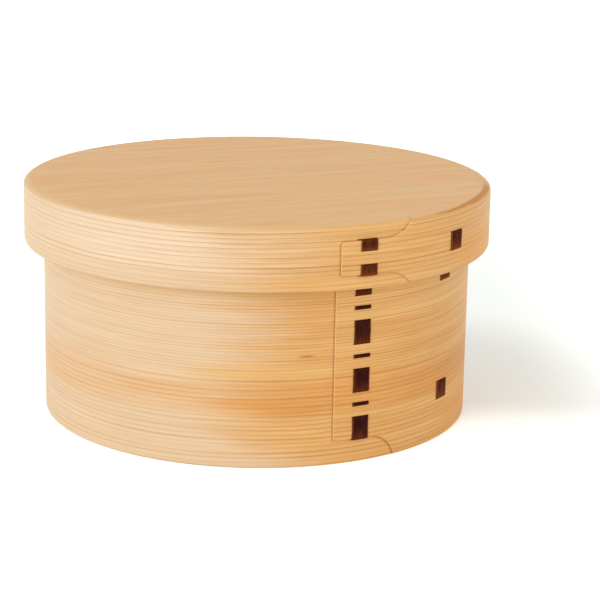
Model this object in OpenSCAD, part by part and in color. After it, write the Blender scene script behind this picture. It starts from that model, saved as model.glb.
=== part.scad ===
// Bentwood rice tub with a cap lid that comes down over its rim.
// Each side is one thin cedar board bent into a hoop. Its pared ends lap over each other
// and are laced together with strips of cherry bark, and a round board closes each hoop.
// The origin is the middle of the foot, +Z is up, and the front faces -Y.

/* [Tub] */
// Outer diameter of the tub
tub_d = 183.4; // [150:0.2:260]
// Height of the tub's side
tub_h = 95; // [80:0.5:160]
// Thickness of the tub's bent board
tub_wall = 5.5; // [4.5:0.1:8]
// Thickness of the bottom board
bottom_t = 6; // [5:0.5:8]
// Height of the foot that stands below the bottom board
foot_h = 2.5; // [1:0.5:5]
// Depth of the seat cut into the side for the bottom board
bottom_seat = 1.7; // [1:0.1:2.2]
// Rounding of the tub's rim
rim_r = 1.2; // [0.5:0.1:2]
// Rounding outside the foot
foot_r = 1.5; // [0.5:0.1:2]

/* [Lid] */
// Thickness of the lid's bent board
lid_wall = 5.5; // [4.5:0.1:8]
// How far the lid's side hangs below the tub's rim
lid_skirt = 21; // [18:0.5:30]
// Thickness of the lid's flat board
lid_board_t = 5.5; // [4.5:0.1:8]
// Depth of the seat cut into the lid's side for its flat board
lid_seat = 1.7; // [1:0.1:1.9]
// Gap all round between the tub and the lid
lid_gap = 2.8; // [1.5:0.1:4]
// Width of the rounding along the lid's upper edge
lip_w = 3.5; // [2:0.1:3.6]
// Height of the rounding along the lid's upper edge
lip_h = 2.2; // [1:0.1:3]
// Rounding outside the lid's lower edge
skirt_r = 2.2; // [1:0.1:2.5]
// Rounding inside the lid's lower edge
skirt_inner_r = 1; // [0.5:0.1:2]

/* [Boards] */
// Gap round the edge of a flat board in its seat
board_gap = 0.1; // [0.05:0.05:0.3]
// Bevel along the edges of a flat board
board_bevel = 0.3; // [0.1:0.1:0.6]

/* [Lap] */
// Length of the overlap between the two pared ends, along the outside
lap_len = 72; // [66:1:90]
// Thickness that is left at a pared end
lap_tip = 0.8; // [0.5:0.1:1.2]
// Length over which the outer lap stays thin, past its shoulders
lap_thin_len = 42; // [41:0.5:48]
// How much thicker the outer lap gets over that length
lap_thin_gain = 0.2; // [0.1:0.1:0.4]
// Length over which the hoop fills out again beyond a pared end
lap_fade = 60; // [40:1:80]
// Width of the glue line between the laps
glue_gap = 0.15; // [0.1:0.05:0.3]
// Corner radius of the outer end
lap_corner_r = 1.5; // [0.5:0.1:3]
// From the outer end to where the tub's lap has its full height
tub_shoulder = 29.5; // [24:0.5:40]
// Radius of the shoulders on the tub's lap
tub_shoulder_r = 14; // [12:1:20]
// From the outer end to where the lid's lap has its full height
lid_shoulder = 32.8; // [24:0.2:40]
// Radius of the shoulders on the lid's lap
lid_shoulder_r = 16; // [12:1:20]
// Direction of the outer end of the tub's board
tub_lap_turn = -69.9; // [-180:0.1:180]
// Direction of the outer end of the lid's board
lid_lap_turn = -70.8; // [-180:0.1:180]

/* [Bark] */
// Thickness of the bark strips
bark_t = 0.4; // [0.3:0.05:0.6]
// Room round a strip in its slits and under it on the wood
bark_gap = 0.05; // [0.03:0.01:0.1]
// Width of the lacing
lace_w = 7.6; // [5:0.1:9]
// From the outer end to the middle of the lacing
lace_from_end = 11.9; // [8:0.1:14]
// Width of the end stitches
end_w = 8.2; // [5:0.1:10]
// Height of the end stitches
end_h = 8; // [8:0.1:10]
// From the outer end to the middle of the end stitches
end_from_end = 60; // [50:0.5:61]
// Length of a long stitch on the tub
long_stitch = 10; // [8:0.1:12]
// Length of a short stitch on the tub
short_stitch = 1.6; // [1.5:0.1:2]
// From the top of a long stitch to the short stitch above it
stitch_step = 4.3; // [3:0.1:5]
// Nearest whole spacing of the long stitches
stitch_pitch = 20; // [18:0.5:24]
// Wood left between the tub's lacing and its bottom board
tub_lace_clear = 1; // [0.6:0.1:4]
// From the top of the tub's lacing to the rim
tub_lace_top = 9.6; // [6:0.1:12]
// From the tub's lower edge to its lower end stitch
tub_end_low = 17.5; // [14:0.5:24]
// From the tub's upper end stitch to its rim
tub_end_high = 18.4; // [14:0.2:24]
// Length of a stitch on the lid
lid_stitch = 4.8; // [4:0.1:5.5]
// From the lid's lower edge to its lacing
lid_lace_low = 5.6; // [4:0.1:8]
// Wood left between the lid's lacing and its flat board
lid_lace_clear = 0.6; // [0.6:0.1:2]
// From the lid's lower edge to its end stitch
lid_end_low = 9.6; // [7:0.1:10]
// Length of the tucked end of a strip
tuck = 3.2; // [2:0.1:3.4]
// How far the knife ran past the lacing at its first and last slits
overcut = 1.1; // [0:0.1:2]

/* [Hidden] */
$fn = 180;
cedar_side = [0.89, 0.71, 0.48];
cedar_board = [0.86, 0.69, 0.52];
cherry_bark = [0.27, 0.10, 0.09];
past = 1;
glue_open = 0.3;
arc_steps = 8;

tub_r = tub_d / 2;
tub_in = tub_r - tub_wall;
lid_in = tub_r + lid_gap;
lid_r = lid_in + lid_wall;
lid_base = tub_h - lid_skirt;
lid_h = lid_skirt + lid_board_t;
bottom_top = foot_h + bottom_t;

// Heights of the stitches outside the tub, as [low, high] above its lower edge
tub_lace_low = bottom_top + tub_lace_clear;
lace_unit = long_stitch + stitch_step + short_stitch;
lace_run = tub_h - tub_lace_top - tub_lace_low;
long_count = max(2, round(lace_run / stitch_pitch));
pitch = (lace_run - lace_unit) / (long_count - 1);
tub_stitches = [
    for (i = [0 : long_count - 1], low = [tub_lace_low + i * pitch])
        each [[low, low + long_stitch], [low + lace_unit - short_stitch, low + lace_unit]]
];
tub_upper_end = [tub_h - tub_end_high - end_h, tub_h - tub_end_high];
tub_lower_end = [tub_end_low, tub_end_low + end_h];

// Heights of the stitches outside the lid, as [low, high] above its lower edge
lid_lace_high = lid_skirt - lid_lace_clear;
lid_stitches = [
    [lid_lace_low, lid_lace_low + lid_stitch],
    [lid_lace_high - lid_stitch, lid_lace_high]
];
lid_end = [lid_end_low, lid_end_low + end_h];

// Angle that a length takes round a circle
function arc_deg(length, r) = length / r * 180 / PI;

// Points of a quarter round or a part of one, with half axes w and h
function arc_points(x, y, w, h, from, to) =
    [for (i = [0 : arc_steps]) let (a = from + (to - from) * i / arc_steps) [x + w * cos(a), y + h * sin(a)]];

// Cylinder with its axis beside the hoop's own, so that its face falls by "fall",
// seen from the hoop's axis, as it goes round from a0 to a1
module spiral_face(r_mid, fall, a0, a1, h) {
    shift = fall / 2 / sin((a1 - a0) / 2);
    toward = (a0 + a1) / 2 - 90;
    translate([shift * cos(toward), shift * sin(toward), -past])
        cylinder(r = sqrt(r_mid * r_mid + shift * shift), h = h + 2 * past);
}

// Part of a ring between two radii, two angles and two heights
module ring_part(r0, r1, a0, a1, z0, z1) {
    rotate([0, 0, a0])
        rotate_extrude(angle = a1 - a0)
            translate([r0, z0]) square([r1 - r0, z1 - z0]);
}

// Room cleared below the outer lap: its corner is rounded, and its edge runs straight
// and then down to the hoop's edge in a round shoulder
module shoulder_outline(h, reach, r) {
    c = lap_corner_r;
    start = reach - sqrt(r * r - (r - h) * (r - h));
    foot = asin((r - h - past) / r);
    polygon(concat(
        [[-past * 3, -past], [-past * 3, h + c]],
        arc_points(c, h + c, c, c, 180, 270),
        arc_points(start, h - r, r, r, 90, foot)
    ));
}

module shoulder_cut(r, wall, h, reach, shoulder_r) {
    rotate([0, 0, arc_deg(reach / 2, r)])
        translate([r - wall, 0, 0])
            rotate([90, 0, 90])
                linear_extrude(wall + past * 3)
                    translate([-reach / 2, 0]) shoulder_outline(h, reach, shoulder_r);
}

// Thin gap between the laps from a0 to a1, where its middle falls from r0 to r1
module glue_line(r0, r1, a0, a1, h) {
    difference() {
        intersection() {
            spiral_face((r0 + r1 + glue_gap) / 2, r0 - r1, a0, a1, h);
            ring_part(r1 - past, r0 + past, a0 - glue_open, a1 + glue_open, -past, h + past);
        }
        translate([0, 0, -past])
            spiral_face((r0 + r1 - glue_gap) / 2, r0 - r1, a0, a1, h + 2 * past);
    }
}

// Glue line between the laps, and the room cleared above and below the outer lap
module lap_cuts(r, wall, h, low, high, reach, shoulder_r) {
    thin = arc_deg(lap_thin_len, r);
    outer = r - lap_tip;
    middle = outer - lap_thin_gain;
    glue_line(outer, middle, 0, thin, h);
    glue_line(middle, r - wall + lap_tip, thin, arc_deg(lap_len, r), h);
    difference() {
        union() {
            shoulder_cut(r, wall, low, reach, shoulder_r);
            translate([0, 0, h]) mirror([0, 0, 1])
                shoulder_cut(r, wall, h - high, reach, shoulder_r);
        }
        translate([0, 0, -past])
            spiral_face((outer + middle - glue_gap) / 2, outer - middle, 0, thin, h + 2 * past);
    }
}

// Room beside the two pared ends, where the other layer lies bare
module fade_cuts(r, wall, h) {
    lap = arc_deg(lap_len, r);
    fade = arc_deg(lap_fade, r);
    depth = lap_tip + glue_gap / 2;
    difference() {
        ring_part(r - depth * 2, r + past, -fade, 0, -past, h + past);
        translate([0, 0, -past]) spiral_face(r - depth / 2, depth, -fade, 0, h + 2 * past);
    }
    intersection() {
        ring_part(r - wall - past, r - wall + depth * 2, lap, lap + fade, -past, h + past);
        spiral_face(r - wall + depth / 2, depth, lap, lap + fade, h);
    }
}

// Slits for a strip whose outside stitches are at the heights in "stitches". The first
// and the last slit run on past the strip by "cut"
module slits(r, wall, stitches, from_end, width, cut) {
    mid = arc_deg(from_end, r);
    half = arc_deg(width / 2 + bark_gap, r);
    legs = [for (s = stitches) each [s[0], s[1] - bark_t]];
    for (i = [0 : len(legs) - 1]) {
        outermost = i == 0 || i == len(legs) - 1;
        extra = outermost ? arc_deg(cut, r) : 0;
        ring_part(r - wall - past, r + past, mid - half - extra, mid + half,
                  legs[i] - bark_gap, legs[i] + bark_t + bark_gap);
    }
}

// Bark strip: plates outside the hoop, legs through it, plates inside it between the
// stitches, and both ends tucked flat against the inside
module strip(r, wall, stitches, from_end, width) {
    mid = arc_deg(from_end, r);
    half = arc_deg(width / 2, r);
    inner = r - wall - bark_gap - bark_t;
    outer = r + bark_gap;
    last = len(stitches) - 1;
    rotate([0, 0, mid - half])
        rotate_extrude(angle = 2 * half)
            union() {
                for (s = stitches) {
                    translate([outer, s[0]]) square([bark_t, s[1] - s[0]]);
                    for (z = [s[0], s[1] - bark_t])
                        translate([inner, z]) square([outer + bark_t - inner, bark_t]);
                }
                for (i = [0 : 1 : last - 1])
                    translate([inner, stitches[i][1] - bark_t])
                        square([bark_t, stitches[i + 1][0] - stitches[i][1] + 2 * bark_t]);
                translate([inner, stitches[0][0]]) square([bark_t, tuck]);
                translate([inner, stitches[last][1] - tuck]) square([bark_t, tuck]);
            }
}

// Hoop in its own place: outline turned round the axis, less the lap and the slits
module hoop(outline, r, wall, h, stitches, ends, reach, shoulder_r) {
    last = len(stitches) - 1;
    difference() {
        rotate_extrude() polygon(outline);
        lap_cuts(r, wall, h, stitches[0][0] + bark_t, stitches[last][1] - bark_t, reach, shoulder_r);
        fade_cuts(r, wall, h);
        slits(r, wall, stitches, lace_from_end, lace_w, overcut);
        slits(r, wall, ends, end_from_end, end_w, 0);
    }
}

// Wall of the tub: seat for the bottom board inside the foot, rounded foot and rim
function tub_outline() = concat(
    [[tub_in + bottom_seat, 0]],
    arc_points(tub_r - foot_r, foot_r, foot_r, foot_r, -90, 0),
    arc_points(tub_r - rim_r, tub_h - rim_r, rim_r, rim_r, 0, 90),
    arc_points(tub_in + rim_r, tub_h - rim_r, rim_r, rim_r, 90, 180),
    [[tub_in, bottom_top], [tub_in + bottom_seat, bottom_top]]
);

// Wall of the lid: rounded lower edge, rounded lip, seat for the flat board
function lid_outline() = concat(
    arc_points(lid_in + skirt_inner_r, skirt_inner_r, skirt_inner_r, skirt_inner_r, 180, 270),
    arc_points(lid_r - skirt_r, skirt_r, skirt_r, skirt_r, -90, 0),
    arc_points(lid_r - lip_w, lid_h - lip_h, lip_w, lip_h, 0, 90),
    [[lid_in + lid_seat, lid_h], [lid_in + lid_seat, lid_skirt], [lid_in, lid_skirt]]
);

// Flat round board with bevelled edges
module board(r, t) {
    b = board_bevel;
    rotate_extrude()
        polygon([[0, 0], [r - b, 0], [r, b], [r, t - b], [r - b, t], [0, t]]);
}

module tub_side_band() {
    color(cedar_side)
        rotate([0, 0, tub_lap_turn])
            hoop(tub_outline(), tub_r, tub_wall, tub_h, tub_stitches, [tub_lower_end, tub_upper_end],
                 tub_shoulder, tub_shoulder_r);
}

module tub_bottom_board() {
    color(cedar_board)
        translate([0, 0, foot_h])
            board(tub_in + bottom_seat - board_gap, bottom_t);
}

module tub_seam_lacing() {
    color(cherry_bark)
        rotate([0, 0, tub_lap_turn])
            strip(tub_r, tub_wall, tub_stitches, lace_from_end, lace_w);
}

module tub_end_stitch(place) {
    color(cherry_bark)
        rotate([0, 0, tub_lap_turn])
            strip(tub_r, tub_wall, [place], end_from_end, end_w);
}

module lid_side_band() {
    color(cedar_side)
        translate([0, 0, lid_base]) rotate([0, 0, lid_lap_turn])
            hoop(lid_outline(), lid_r, lid_wall, lid_h, lid_stitches, [lid_end],
                 lid_shoulder, lid_shoulder_r);
}

module lid_board() {
    color(cedar_board)
        translate([0, 0, tub_h])
            board(lid_in + lid_seat - board_gap, lid_board_t);
}

module lid_seam_lacing() {
    color(cherry_bark)
        translate([0, 0, lid_base]) rotate([0, 0, lid_lap_turn])
            strip(lid_r, lid_wall, lid_stitches, lace_from_end, lace_w);
}

module lid_end_stitch() {
    color(cherry_bark)
        translate([0, 0, lid_base]) rotate([0, 0, lid_lap_turn])
            strip(lid_r, lid_wall, [lid_end], end_from_end, end_w);
}

tub_side_band();
tub_bottom_board();
tub_seam_lacing();
tub_end_stitch(tub_upper_end);  // tub_end_stitch_upper
tub_end_stitch(tub_lower_end);  // tub_end_stitch_lower
lid_side_band();
lid_board();
lid_seam_lacing();
lid_end_stitch();
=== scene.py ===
"""Bentwood rice tub with a cap lid that comes down over its rim.

Each side is one thin cedar board bent into a hoop. Its pared ends lap over each other and are
laced together with strips of cherry bark, and a round board closes each hoop. Lengths in this
file are in millimetres until a mesh is made; the frame is in metres."""

import math
import random

import bmesh
import bpy
from mathutils import Matrix, Vector, noise


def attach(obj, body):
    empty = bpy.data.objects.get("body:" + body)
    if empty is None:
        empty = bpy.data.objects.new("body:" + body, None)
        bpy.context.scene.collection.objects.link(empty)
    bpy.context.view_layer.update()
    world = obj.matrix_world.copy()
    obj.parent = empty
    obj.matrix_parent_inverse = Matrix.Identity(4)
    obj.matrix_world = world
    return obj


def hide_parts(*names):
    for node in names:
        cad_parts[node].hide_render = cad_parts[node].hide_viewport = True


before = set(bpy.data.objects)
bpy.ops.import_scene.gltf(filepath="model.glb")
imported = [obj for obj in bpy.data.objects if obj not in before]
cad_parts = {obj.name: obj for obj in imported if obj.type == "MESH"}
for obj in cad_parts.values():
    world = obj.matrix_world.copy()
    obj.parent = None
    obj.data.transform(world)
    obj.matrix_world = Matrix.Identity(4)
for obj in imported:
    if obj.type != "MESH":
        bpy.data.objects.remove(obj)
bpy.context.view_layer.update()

MM = 0.001
TURN = 2 * math.pi

TUB_R, TUB_WALL, TUB_H = 91.7, 5.5, 95.0
LID_R, LID_WALL, LID_H = 100.0, 5.5, 26.5
LID_TOP = 100.5
BOTTOM_LOW, BOTTOM_TOP = 2.5, 8.5

LAP_LEN, LAP_TIP, LAP_FADE, GLUE_GAP = 72.0, 0.8, 60.0, 0.15
LAP_THIN_LEN, LAP_THIN_GAIN = 42.0, 0.2
LAP_CORNER_R = 1.5
RIPPLE_FROM, RIPPLE_WAVE = 23.0, 4.6
EDGE_EASE = 0.3
SEAM = 0.04
# The end and shoulder values set how strong the painted highlight is along the pared edges.
BEVEL_DEPTH, END_HIGHLIGHT, SHOULDER_HIGHLIGHT = 0.4, 1.0, 0.5
MESH_STEP, MESH_SLACK = 3.0, 0.2
WELD, CLOSE = 0.001, 1e-5
WOOD_SHARP_FROM, BARK_SHARP_FROM = 40, 60

BARK_T, BARK_GAP = 0.4, 0.05
LACE_W, LACE_MID = 7.6, 11.9
END_W, END_MID = 8.2, 60.0
TUCK, OVERCUT = 3.2, 1.1
BARK_BEND, BEND_STEPS, BARK_STEP, BARK_ACROSS = 0.24, 4, 0.9, 10
BARK_TRIM, BARK_CROWN, BARK_THINNING, BARK_WEAR = 0.15, 0.10, 0.06, 0.9

TUB_LACING = [(9.5, 19.5), (23.8, 25.4), (29.5, 39.5), (43.8, 45.4),
              (49.5, 59.5), (63.8, 65.4), (69.5, 79.5), (83.8, 85.4)]
TUB_END_LOWER, TUB_END_UPPER = (17.5, 25.5), (68.6, 76.6)
LID_LACING = [(79.6, 84.4), (89.6, 94.4)]
LID_END = (83.6, 91.6)

SIDE_PALE, SIDE_GROUND = (0.75, 0.395, 0.12, 1), (0.84, 0.51, 0.19, 1)
# The pale side colour is partly paler wood and partly a painted sheen.
SIDE_LATEWOOD, SAPWOOD_AND_SHEEN = (0.48, 0.20, 0.05, 1), (0.765, 0.582, 0.39, 1)
# The colours used under the lid and at the foot right of the lap are painted warm bounce light; the band
# colour is the wood's own.
BAND_WARM, FOOT_BOUNCE, UNDER_LID_BOUNCE = (0.75, 0.33, 0.075, 1), (0.72, 0.31, 0.04, 1), (0.86, 0.47, 0.12, 1)
SEAM_SHADE, SHOULDER_SHADE = (0.48, 0.22, 0.06, 1), (0.50, 0.21, 0.045, 1)
# The pared wood colour is a painted highlight.
PARED_HIGHLIGHT, STREAK_BROWN = (0.92, 0.62, 0.31, 1), (0.47, 0.17, 0.035, 1)
# The lid's pale colour is a painted sheen.
LID_SHEEN, LIP_BROWN, LIP_WARM = (0.86, 0.67, 0.47, 1), (0.60, 0.225, 0.02, 1), (0.82, 0.50, 0.215, 1)
LIP_FROM = 97.0
BOARD_PALE, BOARD_GROUND = (0.90, 0.50, 0.207, 1), (0.90, 0.582, 0.27, 1)
BOARD_LATEWOOD, BOARD_MOTTLE = (0.56, 0.28, 0.095, 1), (0.92, 0.44, 0.135, 1)
EARLYWOOD_ROUGH, LATEWOOD_ROUGH = 0.5, 0.4


def clamp(value):
    return max(0.0, min(1.0, value))


class Hoop:
    """A bent board. Heights "w" are measured from the edge that holds the flat board."""

    def __init__(self, radius, wall, height, turn, flipped_from=None):
        self.radius, self.inside, self.height = radius, radius - wall, height
        self.turn, self.flipped_from = math.radians(turn), flipped_from

    def level(self, height):
        """Turns a height w into z, or z into w."""
        return height if self.flipped_from is None else self.flipped_from - height

    def point(self, angle, r, w):
        a = angle + self.turn
        return Vector((r * math.cos(a), r * math.sin(a), self.level(w))) * MM

    def foot(self, r):
        """Height of the rounded edge that holds the flat board, at radius r."""
        width, height = self.seat_round
        return height * (1 - math.sin(round_angle(self.radius - r, width)))

    def crown(self, r):
        """Height of the rounded free edge at radius r."""
        width, height = self.free_round
        outer_drop = height * (1 - math.sin(round_angle(self.radius - r, width)))
        width, height = self.free_inner
        return self.height - outer_drop - height * (1 - math.sin(round_angle(r - self.inside, width)))

    def shoulder_start(self, cut):
        """Distance from the outer end at which a shoulder starts to curve towards its edge."""
        return self.reach - math.sqrt(self.shoulder_r ** 2 - (self.shoulder_r - cut) ** 2)


def tub_hoop():
    hoop = Hoop(TUB_R, TUB_WALL, TUB_H, -69.9)
    hoop.seat_r, hoop.ledge = TUB_R - TUB_WALL + 1.7, BOTTOM_TOP
    hoop.seat_round, hoop.free_round, hoop.free_inner = (1.5, 1.5), (1.2, 1.2), (1.2, 1.2)
    hoop.cut_low, hoop.cut_high = 9.9, 10.0
    hoop.keep_low, hoop.keep_high = 19.05, 84.25
    hoop.reach, hoop.shoulder_r = 29.5, 14.0
    hoop.bevel_low, hoop.bevel_high, hoop.feather, hoop.ripple = 0.3, 0.9, 3.0, 0.0
    hoop.stitches, hoop.ends = TUB_LACING, [TUB_END_LOWER, TUB_END_UPPER]
    return hoop


def lid_hoop():
    hoop = Hoop(LID_R, LID_WALL, LID_H, -70.8, flipped_from=LID_TOP)
    hoop.seat_r, hoop.ledge = LID_R - LID_WALL + 1.7, 5.5
    hoop.seat_round, hoop.free_round, hoop.free_inner = (3.5, 2.2), (2.2, 2.2), (1.0, 1.0)
    hoop.cut_low, hoop.cut_high = 6.5, 6.0
    hoop.keep_low, hoop.keep_high = 10.45, 16.55
    hoop.reach, hoop.shoulder_r = 32.8, 16.0
    hoop.bevel_low, hoop.bevel_high, hoop.feather, hoop.ripple = 1.9, 1.2, 14.0, 0.35
    hoop.stitches, hoop.ends = LID_LACING, [LID_END]
    return hoop


def spiral(mid, fall, start, end):
    """Radius of a round face that falls by "fall" between two angles."""
    shift = fall / 2 / math.sin((end - start) / 2)
    toward = (start + end) / 2 - math.pi / 2
    square = mid * mid + shift * shift

    def radius(angle):
        turn = angle - toward
        return shift * math.cos(turn) + math.sqrt(square - (shift * math.sin(turn)) ** 2)
    return radius


def wall_faces(hoop):
    """Outer and inner radius of the board at each angle from its outer end."""
    r = hoop.radius
    thin, lap, fade = LAP_THIN_LEN / r, LAP_LEN / r, LAP_FADE / r
    first, second, third = r - LAP_TIP, r - LAP_TIP - LAP_THIN_GAIN, hoop.inside + LAP_TIP
    depth = LAP_TIP + GLUE_GAP / 2
    slow = spiral((first + second) / 2, first - second, 0, thin)
    steep = spiral((second + third) / 2, second - third, thin, lap)
    outer_fade = spiral(r - depth / 2, depth, -fade, 0)
    inner_fade = spiral(hoop.inside + depth / 2, depth, lap, lap + fade)

    def glue(angle):
        return slow(angle) if angle < thin else steep(angle)

    def outer(angle):
        if angle > TURN:
            return glue(angle - TURN) - GLUE_GAP / 2
        return outer_fade(angle - TURN) if angle > TURN - fade else r

    def inner(angle):
        if angle < lap:
            return glue(angle) + GLUE_GAP / 2
        return inner_fade(angle) if angle < lap + fade else hoop.inside
    return outer, inner


def shoulder(hoop, x, cut):
    """Height cleared beside the outer lap, x from its end."""
    start, r = hoop.shoulder_start(cut), hoop.shoulder_r
    if x < LAP_CORNER_R:
        return cut + LAP_CORNER_R - math.sqrt(LAP_CORNER_R ** 2 - (LAP_CORNER_R - x) ** 2)
    if x <= start:
        return cut
    return cut - r + math.sqrt(max(0.0, r * r - (x - start) ** 2))


def ripple(hoop, x):
    """Small waves that the knife left at the end of the shoulder beside the flat board."""
    length = hoop.reach - RIPPLE_FROM
    share = clamp((x - RIPPLE_FROM) / length)
    return hoop.ripple * math.sin(math.pi * share) ** 2 * math.sin(TURN * share * length / RIPPLE_WAVE)


def spread(marks):
    """The marks in order, with even steps filled in where there is room for them."""
    marks = sorted(marks)
    kept = [marks[0]]
    for mark in marks[1:]:
        if mark - kept[-1] > 1e-6:
            kept.append(mark)
    filled = []
    for a, b in zip(kept, kept[1:]):
        count = max(1, math.ceil((b - a) / MESH_STEP - MESH_SLACK))
        filled += [a + (b - a) * i / count for i in range(count)]
    return filled + [kept[-1]]


def hoop_slits(hoop):
    """Slits as (start, end) from the outer end, (low, high) in w, and whether they show outside."""
    slits = []
    for stitches, mid, width, overcut in ((hoop.stitches, LACE_MID, LACE_W, OVERCUT),
                                          (hoop.ends[:1], END_MID, END_W, 0),
                                          (hoop.ends[1:], END_MID, END_W, 0)):
        legs = [leg for low, high in stitches for leg in (low, high - BARK_T)]
        for i, leg in enumerate(legs):
            outermost = overcut > 0 and i in (0, len(legs) - 1)
            low, high = sorted((hoop.level(leg - BARK_GAP), hoop.level(leg + BARK_T + BARK_GAP)))
            half = width / 2 + BARK_GAP
            slits.append((mid - half - (overcut if outermost else 0), mid + half,
                          low, high, not outermost))
    return slits


def shoulder_marks(hoop, cut):
    """Distances from the outer end, in even steps of angle round one shoulder."""
    start, steps = hoop.shoulder_start(cut), 12
    most = math.asin((hoop.reach - start) / hoop.shoulder_r)
    return [start + hoop.shoulder_r * math.sin(most * i / steps) for i in range(steps + 1)]


def seat_crossing(hoop, outer):
    """Angle at which the lower layer of the lap gets thinner than the seat of the flat board."""
    low, high = TURN, TURN + LAP_LEN / hoop.radius
    for _ in range(50):
        half = (low + high) / 2
        low, high = (half, high) if outer(half) > hoop.seat_r else (low, half)
    return low


def hoop_columns(hoop, slits, outer):
    """Angles at which the hoop is measured, from the outer end to the inner one."""
    r, around = hoop.radius, TURN * hoop.radius
    marks = [0, 0.08, 0.2, 0.4, 0.7, 1.1, LAP_CORNER_R, LAP_THIN_LEN, LAP_LEN, LAP_LEN + LAP_FADE]
    marks += shoulder_marks(hoop, hoop.cut_low) + shoulder_marks(hoop, hoop.cut_high)
    marks += [hoop.reach + 0.3, hoop.reach + 0.8]
    marks += [around + past for past in (-LAP_FADE, -1.2, -0.4, 0, LAP_THIN_LEN, LAP_LEN)]
    for start, end, _, _, _ in slits:
        marks += [start, end, around + start, around + end]
    marks.append(seat_crossing(hoop, outer) * r)
    return [x / r for x in spread(marks)]


def hoop_rows(hoop, slits):
    """Heights at which each face of the hoop is measured."""
    low, high = hoop.seat_round[1], hoop.height - hoop.free_round[1]
    marks = [low + past for past in (0, 0.15, 0.5, 1.4, 2.2)]
    marks += [high - short for short in (3.5, 1.7, 0.5, 0.15, 0)]
    marks += [hoop.ledge, hoop.keep_low, hoop.keep_high]
    for _, _, a, b, _ in slits:
        marks += [a, b]
    return spread(marks)


def round_angle(drop, half_width):
    """Angle along a quarter round at a distance "drop" in from its widest point."""
    return math.acos(1 - clamp(drop / half_width))


def pull(w, end, fixed, new_end):
    """Where w goes when one end of its stretch moves and the other end stays."""
    return new_end + (w - end) * (fixed - new_end) / (fixed - end)


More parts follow.
